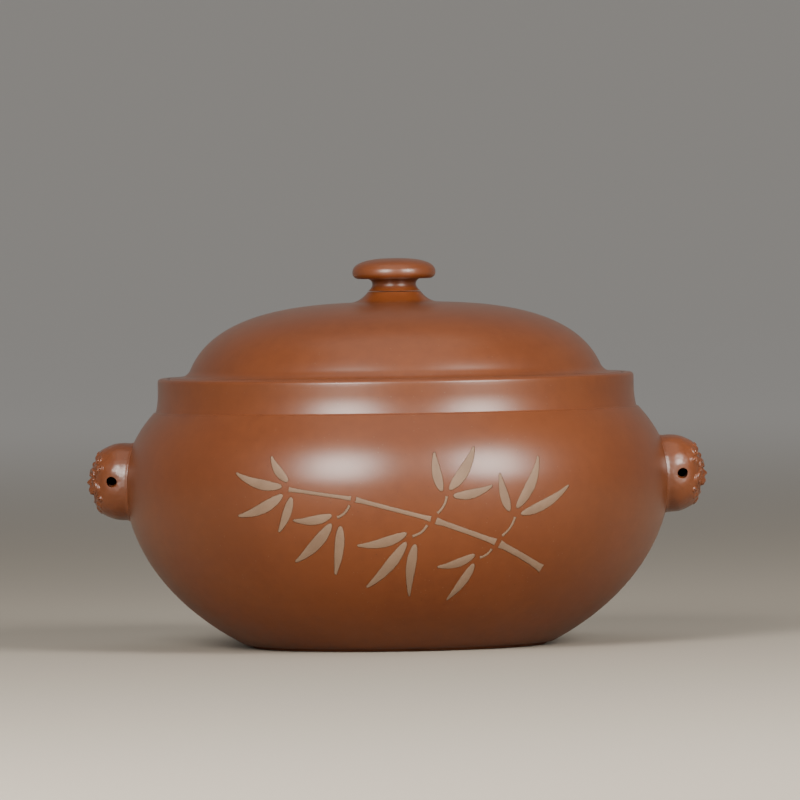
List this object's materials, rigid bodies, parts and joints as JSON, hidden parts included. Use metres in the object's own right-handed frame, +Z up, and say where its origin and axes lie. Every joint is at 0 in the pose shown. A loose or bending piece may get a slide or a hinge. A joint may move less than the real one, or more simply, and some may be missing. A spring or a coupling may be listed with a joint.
{
  "type": "clay steam pot",
  "caption": "Round-bellied clay steam pot with a domed lift-off lid, a hollow steam chimney inside, small lion-head lugs and a pale inlaid bamboo spray.",
  "frame": {"origin": "centre of the foot ring, on the surface the pot stands on", "axes": "+Z up along the turning axis, +X to the right-hand lug seen from the inlaid side, -Y out of the inlaid front"},
  "size_m": [0.273, 0.24, 0.1705],
  "materials": {
    "brown_clay": "unglazed clay burnished to a satin gloss, finely mottled, with faint turning lines",
    "unpolished_clay": "unglazed clay as thrown, matt, with turning lines",
    "pale_clay": "pale grey-tan clay let in flush and polished with the wall"
  },
  "bodies": {
    "pot": {"pot_bowl": "brown_clay", "steam_chimney": "unpolished_clay", "lion_head_left": "brown_clay", "lion_head_right": "brown_clay", "inlay_cane_1": "pale_clay", "inlay_cane_2": "pale_clay", "inlay_cane_3": "pale_clay", "inlay_cane_4": "pale_clay", "inlay_twig_1": "pale_clay", "inlay_twig_2": "pale_clay", "inlay_twig_3": "pale_clay", "inlay_twig_4": "pale_clay", "inlay_twig_5": "pale_clay", "inlay_leaf_01": "pale_clay", "inlay_leaf_02": "pale_clay", "inlay_leaf_03": "pale_clay", "inlay_leaf_04": "pale_clay", "inlay_leaf_05": "pale_clay", "inlay_leaf_06": "pale_clay", "inlay_leaf_07": "pale_clay", "inlay_leaf_08": "pale_clay", "inlay_leaf_09": "pale_clay", "inlay_leaf_10": "pale_clay", "inlay_leaf_11": "pale_clay", "inlay_leaf_12": "pale_clay", "inlay_leaf_13": "pale_clay", "inlay_leaf_14": "pale_clay", "inlay_leaf_15": "pale_clay", "inlay_leaf_16": "pale_clay", "inlay_leaf_17": "pale_clay", "inlay_leaf_18": "pale_clay"},
    "lid": {"lid": "brown_clay", "lid_knob": "brown_clay"}
  },
  "joints": [
    {"name": "lid_lift", "type": "slide", "parent": "pot", "child": "lid", "axis": [0, 0, 1], "range_m": [0, 0.12]}
  ]
}
